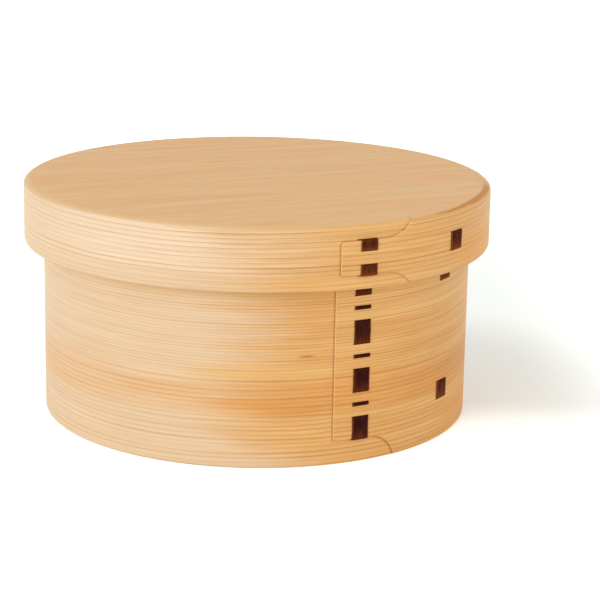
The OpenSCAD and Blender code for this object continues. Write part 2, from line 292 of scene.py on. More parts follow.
class Section:
    """Cross section of the hoop at one angle, as points (r, w) on a closed line."""

    ROUND_STEPS = 7
    NEAR_FOOT, NEAR_CROWN = 1.4, 1.7

    def __init__(self, hoop, angle, r_out, r_in, rows):
        self.hoop, self.x = hoop, angle * hoop.radius
        self.r_out, self.r_in = r_out, r_in
        self.r_seat = min(max(hoop.seat_r, r_in), r_out)
        cleared_low = cleared_high = 0.0
        if self.x < hoop.reach + 1:
            cleared_low = shoulder(hoop, self.x, hoop.cut_low)
            cleared_high = shoulder(hoop, self.x, hoop.cut_high)
        self.floor = max(0.0, ripple(hoop, self.x) + cleared_low)
        self.roof = min(hoop.height, hoop.height - cleared_high)
        self.join_line(rows)

    def join_line(self, rows):
        """Joins the faces into one line, and notes which of its points lie behind each row."""
        inner, seat = self.face(rows, self.r_in, False), self.face(rows, self.r_seat, False)
        last = len(rows) - 1
        ledge = min(range(len(rows)), key=lambda i: abs(rows[i] - self.hoop.ledge))
        line = self.face(rows, self.r_out, True) + self.top()
        self.inner = {i: len(line) + last - i for i in range(ledge, last + 1)}
        line += inner[ledge:][::-1]
        self.seat = {i: len(line) + ledge - i for i in range(ledge + 1)}
        line += seat[:ledge + 1][::-1]
        self.ledge, self.line = ledge, line + self.bottom()

    def low(self, r):
        return max(self.floor, self.hoop.foot(r))

    def high(self, r):
        return min(self.roof, self.hoop.crown(r))

    def face(self, rows, r, eased):
        """Points up one face: the rows are drawn together where a shoulder is cut away."""
        hoop, foot, crown = self.hoop, self.hoop.foot(r), self.hoop.crown(r)
        low, high = min(self.low(r), hoop.keep_low), max(self.high(r), hoop.keep_high)
        near_foot, near_crown = rows[0] + self.NEAR_FOOT, rows[-1] - self.NEAR_CROWN
        points = []
        for w in rows:
            if w < near_foot:
                w = pull(w, rows[0], near_foot, foot)
            if w > near_crown:
                w = pull(w, rows[-1], near_crown, crown)
            if low > foot and w < hoop.keep_low:
                w = pull(w, foot, hoop.keep_low, low)
            if high < crown and w > hoop.keep_high:
                w = pull(w, crown, hoop.keep_high, high)
            points.append((r - (self.edge_fall(w)[0] if eased else 0), w))
        return points

    def shoulder_edge(self, cut, gap, bevel):
        """Distance to a shoulder's edge, and the width and depth of the bevel pared along it."""
        hoop, start = self.hoop, self.hoop.shoulder_start(cut)
        lean = clamp((self.x - start) / hoop.shoulder_r)
        share = clamp((self.x - start + hoop.feather) / (hoop.reach - start))
        share = share * share * (3 - 2 * share)
        width, depth = EDGE_EASE + bevel * share, EDGE_EASE + BEVEL_DEPTH * share
        return gap * math.sqrt(1 - lean * lean), width, depth

    def edge_fall(self, w):
        """How far the outer face falls back near the edge of the outer lap, and how strong a highlight is
        painted there.
        """
        hoop = self.hoop
        if self.x > hoop.reach:
            return 0.0, 0.0
        edges = [(self.x, EDGE_EASE, EDGE_EASE, 1.0, END_HIGHLIGHT)]
        for cut, cleared, gap, bevel in (
                (hoop.cut_low, self.floor, w - self.floor, hoop.bevel_low),
                (hoop.cut_high, hoop.height - self.roof, self.roof - w, hoop.bevel_high)):
            if cleared > 0:
                edges.append(self.shoulder_edge(cut, max(0.0, gap), bevel)
                             + (min(1.0, cleared), SHOULDER_HIGHLIGHT))
        drop = bare = 0.0
        for gap, width, depth, share, highlight_weight in edges:
            if gap < width:
                part = 1 - gap / width
                drop = max(drop, depth * (1 - math.sqrt(1 - part * part)) * share)
                bare = max(bare, highlight_weight * share * part ** 0.5)
        return drop, bare

    def rounding(self, edge, inward, width, start, end):
        """Radii in even steps of angle along the rounding of an edge, from start to end."""
        first, last = (round_angle((edge - r) * inward, width) for r in (start, end))
        return [edge - inward * width * (1 - math.cos(first + (last - first) * i / self.ROUND_STEPS))
                for i in range(self.ROUND_STEPS + 1)]

    def top(self):
        hoop, width = self.hoop, self.hoop.free_round[0]
        radii = self.rounding(hoop.radius, 1, width, self.r_out, max(self.r_in, hoop.radius - width))[1:]
        width = hoop.free_inner[0]
        radii += self.rounding(hoop.inside, -1, width,
                               min(self.r_out, hoop.inside + width), self.r_in)[:-1]
        most = self.r_out - self.edge_fall(self.roof)[0]
        return [(r, self.high(r)) for r in (min(most, max(self.r_in, r)) for r in radii)]

    def bottom(self):
        hoop, width = self.hoop, self.hoop.seat_round[0]
        radii = self.rounding(hoop.radius, 1, width,
                              max(self.r_seat, hoop.radius - width), self.r_out)[:-1]
        most = self.r_out - self.edge_fall(self.floor)[0]
        return [(r, self.low(r)) for r in (min(most, max(self.r_seat, r)) for r in radii)]


class HoopMesh:
    """Mesh of one hoop: a ring of points for each column, and the faces between the rings."""

    def __init__(self, hoop):
        self.hoop, self.slits = hoop, hoop_slits(hoop)
        outer, inner = wall_faces(hoop)
        self.columns = hoop_columns(hoop, self.slits, outer)
        self.rows = hoop_rows(hoop, self.slits)
        self.sections = [Section(hoop, a, outer(a), inner(a), self.rows) for a in self.columns]
        first = self.sections[0]
        self.last, self.ledge = len(self.rows) - 1, first.ledge
        self.inner_at, self.seat_at = first.inner, first.seat
        self.behind = {**first.seat, **first.inner}
        self.mesh = bmesh.new()
        self.rings = self.add_points()

    def add_points(self):
        hoop = self.hoop
        grain = self.mesh.verts.layers.float_vector.new("grain")
        pared = self.mesh.verts.layers.float.new("pared")
        rings = []
        for angle, section in zip(self.columns, self.sections):
            ring = []
            for r, w in section.line:
                vert = self.mesh.verts.new(hoop.point(angle, r, w))
                vert[grain] = (angle * hoop.radius, r - hoop.inside, hoop.level(w))
                # Share of painted highlight along the pared edges.
                vert[pared] = section.edge_fall(w)[1]
                ring.append(vert)
            rings.append(ring)
        return rings

    def in_slit(self, c, i):
        """Whether a slit opens the face from column c and row i to the next ones."""
        x, along = (self.columns[k] * self.hoop.radius for k in (c, c + 1))
        low, high = self.rows[i], self.rows[i + 1]
        under = self.columns[c] >= TURN - 1e-9
        if under:
            x, along = x - TURN * self.hoop.radius, along - TURN * self.hoop.radius
        return any((under or shows) and x > start - CLOSE and along < end + CLOSE
                   and low > bottom - CLOSE and high < top + CLOSE
                   for start, end, bottom, top, shows in self.slits)

    def cover(self, c):
        """Faces from ring c to the next, except over slits and where the seat leaves no wall."""
        a, b = self.rings[c], self.rings[c + 1]
        no_wall = all(s.r_out <= self.hoop.seat_r + 1e-6 for s in self.sections[c:c + 2])
        beside_board = set(range(self.ledge)) | set(range(self.seat_at[self.ledge], len(a)))
        inner_rows = {self.inner_at[i + 1]: i for i in range(self.ledge, self.last)}
        for p in range(len(a)):
            row = p if p < self.last else inner_rows.get(p)
            if (no_wall and p in beside_board) or (row is not None and self.in_slit(c, row)):
                continue
            q = (p + 1) % len(a)
            self.mesh.faces.new((a[p], b[p], b[q], a[q]))

    def wall_slits(self, c):
        """Faces through the board round the slits between ring c and the next."""
        a, b, behind = self.rings[c], self.rings[c + 1], self.behind
        for i in range(self.ledge, self.last):
            if not self.in_slit(c, i):
                continue
            for edge, beyond in ((i, i - 1), (i + 1, i + 1)):
                if not (0 <= beyond < self.last and self.in_slit(c, beyond)):
                    self.mesh.faces.new((a[edge], b[edge], b[behind[edge]], a[behind[edge]]))
            for ring, beyond in ((a, c - 1), (b, c + 1)):
                if not self.in_slit(beyond, i):
                    self.cut_across(ring, i)

    def cut_across(self, ring, i):
        """Face through the board from row i of a ring to the next row."""
        self.mesh.faces.new([ring[k] for k in (i, i + 1, self.behind[i + 1], self.behind[i])])

    def close_end(self, ring, no_wall):
        """Faces over one end of the board. The inner end has no wall beside the flat board."""
        for i in range(self.ledge if no_wall else 0, self.last):
            self.cut_across(ring, i)
        self.mesh.faces.new(ring[self.last:self.inner_at[self.last] + 1])
        if not no_wall:
            self.mesh.faces.new(ring[self.seat_at[0]:] + [ring[0]])


def bent_board(name, hoop):
    """One hoop, with its pared laps, its slits and the seat for its flat board."""
    board = HoopMesh(hoop)
    for c in range(len(board.columns) - 1):
        board.cover(c)
        board.wall_slits(c)
    board.close_end(board.rings[0], False)
    board.close_end(board.rings[-1], True)
    return finish_mesh(name, board.mesh, WOOD_SHARP_FROM, weld=True)


def finish_mesh(name, mesh, sharp_from, weld=False):
    """Object from a bmesh, smooth except along edges that turn by more than sharp_from degrees."""
    if weld:
        bmesh.ops.remove_doubles(mesh, verts=mesh.verts, dist=WELD * MM)
    slivers = [face for face in mesh.faces if face.calc_area() < 1e-13]
    bmesh.ops.dissolve_degenerate(mesh, dist=1e-7, edges=[e for f in slivers for e in f.edges])
    bmesh.ops.delete(mesh, geom=[v for v in mesh.verts if not v.link_faces], context="VERTS")
    bmesh.ops.recalc_face_normals(mesh, faces=mesh.faces)
    for face in mesh.faces:
        face.smooth = True
    for edge in mesh.edges:
        if len(edge.link_faces) == 2 and edge.calc_face_angle(0) > math.radians(sharp_from):
            edge.smooth = False
    data = bpy.data.meshes.new(name)
    mesh.to_mesh(data)
    mesh.free()
    piece = bpy.data.objects.new(name, data)
    bpy.context.scene.collection.objects.link(piece)
    return piece


def board_profile(radius, low, high, ease):
    """Half outline of a flat board as (r, z), from the middle of its underside to its top."""
    underside = [(radius * f, low) for f in (0, 0.25, 0.5, 0.75, 0.95)]
    top = [(radius * f, high) for f in (0.95, 0.75, 0.5, 0.25, 0)]
    turns = [math.pi / 2 * i / 4 for i in range(5)]
    mid = radius - ease
    return (underside + [(mid + ease * math.sin(a), low + ease - ease * math.cos(a)) for a in turns]
            + [(mid + ease * math.cos(a), high - ease + ease * math.sin(a)) for a in turns] + top)


def flat_board(name, radius, low, high, ease, grain_turn, shift):
    """Round board with eased edges. Its grain runs at grain_turn degrees from left to right."""
    profile = board_profile(radius, low, high, ease)
    mesh = bmesh.new()
    grain = mesh.verts.layers.float_vector.new("grain")
    steps, turn = 256, math.radians(grain_turn)
    rings = []
    for i in range(steps):
        a, ring = TURN * i / steps, []
        for r, z in profile:
            x, y = r * math.cos(a), r * math.sin(a)
            vert = mesh.verts.new(Vector((x, y, z)) * MM)
            vert[grain] = (x * math.cos(turn) + y * math.sin(turn), z - low,
                           y * math.cos(turn) - x * math.sin(turn) + shift)
            ring.append(vert)
        rings.append(ring)
    for i in range(steps):
        a, b = rings[i], rings[(i + 1) % steps]
        for j in range(len(profile) - 1):
            mesh.faces.new((a[j], b[j], b[j + 1], a[j + 1]))
    return finish_mesh(name, mesh, WOOD_SHARP_FROM, weld=True)


def strip_corners(hoop, stitches, out):
    """Corners of a bark strip's middle line, in and out of the slits and tucked in at both ends."""
    under, half = hoop.inside - BARK_GAP - BARK_T / 2, BARK_T / 2
    corners = [(under, stitches[0][0] + TUCK)]
    for low, high in stitches:
        corners += [(under, low + half), (out, low + half), (out, high - half), (under, high - half)]
    return corners + [(under, stitches[-1][1] - TUCK)]


def strip_path(corners):
    """Middle line of a bark strip as (r, z), with rounded bends."""
    path = [Vector(corners[0])]
    for before, here, after in zip(corners, corners[1:], corners[2:]):
        b, h, a = Vector(before), Vector(here), Vector(after)
        start, end = h + (b - h).normalized() * BARK_BEND, h + (a - h).normalized() * BARK_BEND
        for i in range(BEND_STEPS + 1):
            t = i / BEND_STEPS
            path.append(start.lerp(h, t).lerp(h.lerp(end, t), t))
    path.append(Vector(corners[-1]))
    filled = []
    for a, b in zip(path, path[1:]):
        count = max(1, math.ceil((b - a).length / BARK_STEP))
        filled += [a.lerp(b, i / count) for i in range(count)]
    return filled + [path[-1]]


def stitch_bow(stitches, z):
    """How far a stitch bows out at a height, and how near that is to its lower end."""
    low, high = next(s for s in stitches if s[0] - 0.1 < z < s[1] + 0.1)
    bow = max(0.0, math.sin(math.pi * (z - low) / (high - low))) ** 0.5
    return bow, clamp((high - z) / (high - low)) ** 2


def uneven(x, y, z):
    return noise.noise(Vector((x, y, z)))


def cover_strip(mesh, rings):
    for a, b in zip(rings, rings[1:]):
        for j in range(len(a)):
            k = (j + 1) % len(a)
            mesh.faces.new((a[j], a[k], b[k], b[j]))
    mesh.faces.new(rings[0])
    mesh.faces.new(rings[-1][::-1])


def bark_strip(name, hoop, stitches, mid, width, seed):
    """Strip of cherry bark through the slits. Outside it is a little crowned across its width."""
    out = hoop.radius + BARK_GAP + BARK_T / 2
    path = strip_path(strip_corners(hoop, stitches, out))
    phase = random.Random(seed).uniform(0, 50)
    mesh = bmesh.new()
    grain = mesh.verts.layers.float_vector.new("grain")
    wear_and_bounce = mesh.verts.layers.float.new("wear_and_bounce")
    run, rings = 0.0, []
    for i, here in enumerate(path):
        if i:
            run += (here - path[i - 1]).length
        ahead = (path[min(i + 1, len(path) - 1)] - path[max(i - 1, 0)]).normalized()
        side = Vector((ahead.y, -ahead.x))
        bow, foot = stitch_bow(stitches, here.y) if here.x > out - 0.02 else (0.0, 0.0)
        left, right = (width / 2 - BARK_TRIM + BARK_TRIM * uneven(run * 0.45, phase + at, 0)
                       for at in (0, 9))
        faces = [[], []]
        for j in range(BARK_ACROSS + 1):
            v = j / BARK_ACROSS
            lift = bow * BARK_CROWN * (1 - (2 * v - 1) ** 2)
            lift += bow * BARK_CROWN / 2 * uneven(run * 0.4, v * 4, phase)
            half = BARK_T / 2 - (BARK_THINNING if j in (0, BARK_ACROSS) else 0.0)
            x = -left + (left + right) * v
            a = (mid + x) / hoop.radius + hoop.turn
            for k, sign in ((0, 1), (1, -1)):
                raised = lift if k == 0 and here.x > hoop.inside else 0.0
                at = here + side * (sign * half + raised)
                vert = mesh.verts.new(Vector((at.x * math.cos(a), at.x * math.sin(a), at.y)) * MM)
                vert[grain] = (x + phase, sign * 0.2, run)
                # Edge share: real wear. Near a stitch's lower end: painted warm bounce light.
                vert[wear_and_bounce] = max(1 - width * min(v, 1 - v) / BARK_WEAR, 0.8 * foot)
                faces[k].append(vert)
        rings.append(faces[0] + faces[1][::-1])
    cover_strip(mesh, rings)
    return finish_mesh(name, mesh, BARK_SHARP_FROM)


class Wiring:
    """Short calls for placing and joining the nodes of one tree."""

    def __init__(self, tree):
        self.tree = tree

    def add(self, kind, values=None, **settings):
        node = self.tree.nodes.new(kind)
        for name, value in settings.items():
            setattr(node, name, value)
        for key, value in (values or {}).items():
            self.feed(node.inputs[key], value)
        return node

    def feed(self, socket, value):
        if isinstance(value, bpy.types.NodeSocket):
            self.tree.links.new(value, socket)
        else:
            socket.default_value = value

    def math(self, operation, a, b=0.0):
        return self.add("ShaderNodeMath", {0: a, 1: b}, operation=operation).outputs[0]

    def chain(self, operation, first, *others):
        for other in others:
            first = self.math(operation, first, other)
        return first

    def times(self, *values):
        return self.chain("MULTIPLY", *values)

    def plus(self, *values):
        return self.chain("ADD", *values)

    def sway(self, value, reach):
        """Turns a value from 0 to 1 into a sway, half of reach to either side."""
        return self.times(self.math("SUBTRACT", value, 0.5), reach)

    def ease(self, value, low, high, to_low=0.0, to_high=1.0):
        node = self.add("ShaderNodeMapRange", {"Value": value, "From Min": low, "From Max": high,
                                               "To Min": to_low, "To Max": to_high},
                        interpolation_type="SMOOTHSTEP")
        return node.outputs["Result"]

    def blend(self, share, a, b):
        node = self.add("ShaderNodeMix", data_type="RGBA")
        for socket, value in ((0, share), (6, a), (7, b)):
            self.feed(node.inputs[socket], value)
        return node.outputs[2]

    def stretch(self, place, scale):
        return self.add("ShaderNodeVectorMath", {0: place, 1: scale}, operation="MULTIPLY").outputs[0]

    def noise(self, place, scale, detail=2.0, roughness=0.5):
        """Noise with its own scale along, into and across the wood."""
        return self.add("ShaderNodeTexNoise", {"Vector": self.stretch(place, scale), "Scale": 1.0,
                                               "Detail": detail, "Roughness": roughness}).outputs["Fac"]

    def parts(self, place):
        return self.add("ShaderNodeSeparateXYZ", {0: place}).outputs

    def attribute(self, name, output="Fac"):
        return self.add("ShaderNodeAttribute", attribute_name=name).outputs[output]

    def group(self, tree, values):
        return self.add("ShaderNodeGroup", values, node_tree=tree).outputs


def new_group(name, inputs, outputs):
    """Empty node group that puts out numbers. An input given as None is a place."""
    group = bpy.data.node_groups.new(name, "ShaderNodeTree")
    for label, value in inputs.items():
        kind = "NodeSocketVector" if value is None else "NodeSocketFloat"
        socket = group.interface.new_socket(label, in_out="INPUT", socket_type=kind)
        if value is not None:
            socket.default_value = value
    for label in outputs:
        group.interface.new_socket(label, in_out="OUTPUT", socket_type="NodeSocketFloat")
    wires = Wiring(group)
    return group, wires, wires.add("NodeGroupInput").outputs, wires.add("NodeGroupOutput").inputs


def new_material(name):
    material = bpy.data.materials.new(name)
    material.use_nodes = True
    return material, Wiring(material.node_tree), material.node_tree.nodes["Principled BSDF"]


def growth_rings_group():
    """Latewood lines, fibres and slow changes of tone in straight-grained cedar."""
    group, w, given, out = new_group(
        "growth_rings", {"Place": None, "Rings": 0.0, "Lean": 0.1, "Wander": 0.5, "Line Width": 0.3},
        ["Latewood", "Fibre", "Tone", "Height"])
    place, line_end = given["Place"], 0.95
    drift = w.sway(w.noise(place, (0.012, 0.03, 0.03)), w.times(given["Wander"], 2.0))
    flick = w.sway(w.noise(place, (0.07, 0.1, 0.12), 1.0), w.times(given["Wander"], 0.3))
    through = w.times(w.parts(place)["Y"], given["Lean"])
    count = w.plus(given["Rings"], through, w.plus(drift, flick))
    ring, part = w.math("FLOOR", count), w.math("FRACT", count)
    chance = w.add("ShaderNodeTexWhiteNoise", {"W": ring}, noise_dimensions="1D").outputs["Value"]
    width = w.times(given["Line Width"], w.plus(0.7, w.times(chance, 0.6)))
    rise = w.ease(part, w.math("SUBTRACT", line_end, width), 0.9)
    fall = w.ease(part, line_end, 1.0, 1.0, 0.0)
    along = w.noise(place, (0.02, 0.05, 0.25))
    strength = w.times(w.ease(chance, 0.0, 1.0, 0.45, 1.0), w.ease(along, 0.25, 0.7, 0.55, 1.0))
    slope = w.times(part, part, 0.22)
    latewood = w.math("MAXIMUM", w.times(rise, fall, strength), w.times(slope, fall))
    fibre = w.noise(place, (0.022, 0.8, 0.95), 4.0, 0.7)
    w.feed(out["Latewood"], latewood)
    w.feed(out["Fibre"], fibre)
    w.feed(out["Tone"], w.noise(place, (0.008, 0.03, 0.14), 4.0, 0.6))
    w.feed(out["Height"], w.plus(w.times(latewood, 0.6), w.times(fibre, 0.4)))
    return group


def sapwood_and_sheen_group():
    """Stretch along a side where the colour is paler: partly paler wood, partly a painted sheen on the side
    the lamps light most. Low down it can lie further along.
    """
    group, w, given, out = new_group(
        "sapwood_and_sheen", {"Place": None, "Tone": 0.5, "Low Shift": 0.0, "Back": 0.0, "Start": 1.0,
                    "End": 2.0, "Front": 3.0}, ["Share"])
    parts = w.parts(given["Place"])
    here = w.plus(parts["X"], w.sway(given["Tone"], 90.0))
    here = w.math("SUBTRACT", here, w.ease(parts["Z"], 3.0, 13.0, given["Low Shift"], 0.0))
    w.feed(out["Share"], w.times(w.ease(here, given["Back"], given["Start"]),
                                 w.ease(here, given["End"], given["Front"], 0.85, 0.0)))
    return group


def seam_shade_group():
    """Corner beside the outer end of a lap, which less light reaches."""
    group, w, given, out = new_group(
        "seam_shade", {"Place": None, "Seam At": 0.0, "Low": 0.0, "High": 1.0}, ["Share"])
    parts = w.parts(given["Place"])
    gap = w.math("ABSOLUTE", w.math("SUBTRACT", parts["X"], given["Seam At"]))
    over, short = w.math("SUBTRACT", parts["Z"], given["Low"]), w.math("SUBTRACT", given["High"], parts["Z"])
    inside = w.times(w.ease(over, -0.2, 1.5), w.ease(short, -0.2, 1.5))
    w.feed(out["Share"], w.times(w.ease(gap, 0.1, 1.0, 0.5, 0.0), inside))
    return group


def shoulder_shade_group():
    """Narrow strip of the lower layer of a lap, close to a shoulder of the layer over it."""
    group, w, given, out = new_group(
        "shoulder_shade", {"Place": None, "Seam At": 0.0, "Start": 0.0, "Radius": 1.0, "Centre": 0.0,
                           "Up": 1.0, "Strength": 0.5}, ["Share"])
    parts = w.parts(given["Place"])
    along = w.math("SUBTRACT", parts["X"], given["Seam At"])
    past = w.math("SUBTRACT", along, given["Start"])
    x = w.math("MAXIMUM", past, 0.0)
    y = w.times(w.math("SUBTRACT", parts["Z"], given["Centre"]), given["Up"])
    reach = w.math("SQRT", w.plus(w.times(x, x), w.times(y, y)))
    gap = w.math("SUBTRACT", given["Radius"], reach)
    near = w.times(w.ease(gap, 0.0, 1.1, given["Strength"], 0.0), w.ease(gap, -0.9, -0.4))
    under = w.times(w.math("GREATER_THAN", along, 0.0), w.math("GREATER_THAN", y, 0.0))
    w.feed(out["Share"], w.times(near, w.ease(past, -8.0, 6.0, 0.2, 1.0), under))
    return group


def painted_foot_bounce_group():
    """Painted warm bounce light on a stretch right of the lap, full below one height and gone above another.
    """
    group, w, given, out = new_group(
        "painted_foot_bounce", {"Place": None, "Full At": 0.0, "None At": 1.0}, ["Share"])
    parts = w.parts(given["Place"])
    stretch = w.times(w.ease(parts["X"], 44.0, 74.0), w.ease(parts["X"], 110.0, 150.0, 1.0, 0.0))
    w.feed(out["Share"], w.times(stretch, w.ease(parts["Z"], given["Full At"], given["None At"], 0.5, 0.0)))
    return group


def pared_highlight_group():
    """Painted highlight along the pared edge of the outer lap, by how far the knife bared it."""
    group, w, given, out = new_group("pared_highlight", {"Pared": 0.0, "Strength": 0.45}, ["Share"])
    w.feed(out["Share"], w.ease(given["Pared"], 0.25, 0.9, 0.0, given["Strength"]))
    return group


def cedar(name, rings_group, settings):
    """Planed bare cedar. settings["rings"] counts growth rings across the board from its height."""
    material, w, shader = new_material(name)
    place = w.attribute("grain", "Vector")
    given = {key: settings[key] for key in ("Lean", "Wander", "Line Width")}
    across = w.parts(place)["Z"]
    rings = w.group(rings_group, {"Place": place, "Rings": settings["rings"](w, across), **given})
    ground = w.blend(w.ease(rings["Tone"], 0.3, 0.7), settings["pale"], settings["ground"])
    fibre = w.ease(rings["Fibre"], 0.3, 0.75, 0.0, settings["fibre"])
    lines = w.times(rings["Latewood"], settings["contrast"])
    quiet = 1.0
    # The pale stretch is partly paler wood and partly painted sheen; its lines and fibres are quieter there.
    if "sapwood_and_sheen" in settings:
        tree, values = settings["sapwood_and_sheen"]
        share = w.group(tree, {"Place": place, "Tone": rings["Tone"], **values})["Share"]
        ground = w.blend(share, ground, SAPWOOD_AND_SHEEN)
        quiet = w.ease(share, 0.0, 1.0, 1.0, settings["quiet"])
        fibre, lines = w.times(fibre, quiet), w.times(lines, quiet)
    ground = settings["tinge"](w, place, rings["Tone"], quiet, ground)
    ground = w.blend(fibre, ground, settings["dark"])
    colour = w.blend(lines, ground, settings["dark"])
    for mark in settings["marks"]:
        colour = mark(w, place, colour)
    w.feed(shader.inputs["Base Color"], colour)
    w.feed(shader.inputs["Roughness"], w.ease(rings["Latewood"], 0.0, 1.0, EARLYWOOD_ROUGH, LATEWOOD_ROUGH))
    shader.inputs["Specular IOR Level"].default_value = settings["gloss"]
    bump = w.add("ShaderNodeBump", {"Strength": 0.35, "Distance": 0.04 * MM, "Height": rings["Height"]})
    w.feed(shader.inputs["Normal"], bump.outputs["Normal"])
    return material


def tub_warm_band(w, place, tone, quiet, ground):
    """Warmer wood in a band low on the tub, strongest towards the front right."""
    across, wave = w.parts(place)["Z"], w.sway(tone, 16.0)
    low = w.ease(w.plus(across, w.times(wave, 0.15)), 20.5, 23.0)
    high = w.ease(w.plus(across, wave), 29.0, 43.0, 1.0, 0.0)
    patch = w.ease(w.noise(place, (0.013, 0.02, 0.09), 3.0), 0.3, 0.62, 0.35, 0.85)
    return w.blend(w.times(low, high, patch, quiet), ground, BAND_WARM)


def painted_lid_sheen(w, place, tone, quiet, ground):
    """Painted sheen: paler colour in the upper part of the lid's side, left of the lap."""
    parts = w.parts(place)
    rise = w.ease(parts["X"], LID_R * 4.5, LID_R * 5.4)
    fading = w.times(w.ease(parts["X"], LID_R * 5.6, LID_R * 5.9, 1.0, 0.4),
                     w.ease(parts["X"], LID_R * 6.1, LID_R * 6.35, 1.0, 0.0))
    return w.blend(w.times(w.ease(parts["Z"], 78.0, 86.0), rise, fading, 0.75), ground, LID_SHEEN)


def mottled(w, place, tone, quiet, ground):
    """Cloudy darker patches in the flat boards."""
    patches = w.noise(place, (0.03, 0.1, 0.22), 4.0, 0.7)
    return w.blend(w.ease(patches, 0.46, 0.7, 0.0, 0.6), ground, BOARD_MOTTLE)


def tinted(group, values, tint):
    """A mark that tints the wood by the share that a node group puts out."""
    def mark(w, place, colour):
        return w.blend(w.group(group, {"Place": place, **values})["Share"], colour, tint)
    return mark


def lap_marks(groups, hoop, seam, strength, warm):
    """The marks round a lap. seam and warm are pairs of heights."""
    seam_shade, shoulder_shade, painted_foot_bounce, pared_highlight = groups
    seam_at, up = TURN * hoop.radius, 1.0 if hoop.flipped_from is None else -1.0
    marks = [tinted(seam_shade, {"Seam At": seam_at, "Low": seam[0], "High": seam[1]}, SEAM_SHADE)]
    for cut, centre, way in ((hoop.cut_low, hoop.cut_low - hoop.shoulder_r, up),
                             (hoop.cut_high, hoop.height - hoop.cut_high + hoop.shoulder_r, -up)):
        marks.append(tinted(shoulder_shade, {
            "Seam At": seam_at, "Start": hoop.shoulder_start(cut), "Radius": hoop.shoulder_r,
            "Centre": hoop.level(centre), "Up": way, "Strength": strength}, SHOULDER_SHADE))

    # Painted highlight along the pared edges of the outer lap.
    def pared_edge_highlight(w, place, colour):
        return w.blend(w.group(pared_highlight, {"Pared": w.attribute("pared")})["Share"], colour, PARED_HIGHLIGHT)
    # The foot mark paints warm bounce light low on the right of the lap.
    return marks + [tinted(painted_foot_bounce, {"Full At": warm[0], "None At": warm[1]}, FOOT_BOUNCE), pared_edge_highlight]


def small_streak(w, place, colour):
    """Short dark streak in the tub's board, just short of the outer end of the lap."""
    streak_at = (TURN * TUB_R - 11.4, TUB_WALL, 46.2)
    from_middle = w.add("ShaderNodeVectorMath", {0: place, 1: streak_at}, operation="SUBTRACT").outputs[0]
    reach = w.add("ShaderNodeVectorMath", {0: w.stretch(from_middle, (0.2, 0.0, 1.2))},
                  operation="LENGTH").outputs["Value"]
    return w.blend(w.ease(reach, 0.1, 1.0, 0.85, 0.0), colour, STREAK_BROWN)


def painted_bounce_under_lid(w, place, colour):
    """Painted warm bounce light in the shade that the lid casts on the tub's side."""
    height = w.parts(place)["Z"]
    share = w.times(w.ease(height, 69.0, 72.5, 0.0, 0.4), w.ease(height, 78.0, 86.0, 1.0, 0.0))
    return w.blend(share, colour, UNDER_LID_BOUNCE)


def lip_line(w, place, colour):
    """Darker brown line along the rounding of the lid's lip, only along a stretch from the lap to the right.
    """
    parts = w.parts(place)
    depth = w.plus(parts["Y"], w.sway(w.noise(place, (0.08, 0.0, 0.0)), 0.9))
    widening = w.ease(parts["X"], 52.0, 82.0, 0.0, 1.4)
    across = w.times(w.ease(w.plus(depth, widening), 3.5, 4.1), w.ease(depth, 4.4, 5.1, 1.0, 0.0))
    stretch = w.times(w.ease(parts["X"], 40.0, 56.0), w.ease(parts["X"], 104.0, 128.0, 1.0, 0.0))
    return w.blend(w.times(across, stretch, w.math("GREATER_THAN", parts["Z"], LIP_FROM)), colour, LIP_BROWN)


def lip_top(w, place, colour):
    """Warmer colour, like the board's, where the top edge of the lid's side turns towards its board, painted
    stronger to offset the grey reflection of the sky on that rounding.
    """
    parts = w.parts(place)
    share = w.times(w.ease(parts["Y"], 3.7, 5.3, 0.85, 0.0), w.math("GREATER_THAN", parts["Z"], LIP_FROM))
    return w.blend(share, colour, LIP_WARM)


def even_rings(width):
    return lambda w, across: w.math("DIVIDE", across, width)


def tub_rings(w, across):
    """Rings some 1.9 mm apart low on the tub and 1.25 mm apart higher up."""
    wide = w.math("DIVIDE", w.math("MINIMUM", across, 38.0), 1.9)
    close = w.math("DIVIDE", w.math("MAXIMUM", w.math("SUBTRACT", across, 38.0), 0.0), 1.25)
    return w.plus(wide, close)


def pale_stretch(group, radius, low_shift):
    """The group for the paler wood and painted sheen, and its values for one side. The turns are degrees
    from the outer end.
    """
    turns = {"Back": 190, "Start": 240, "End": 322, "Front": 354}
    at = {label: radius * math.radians(turn) for label, turn in turns.items()}
    return group, {"Low Shift": low_shift, **at}


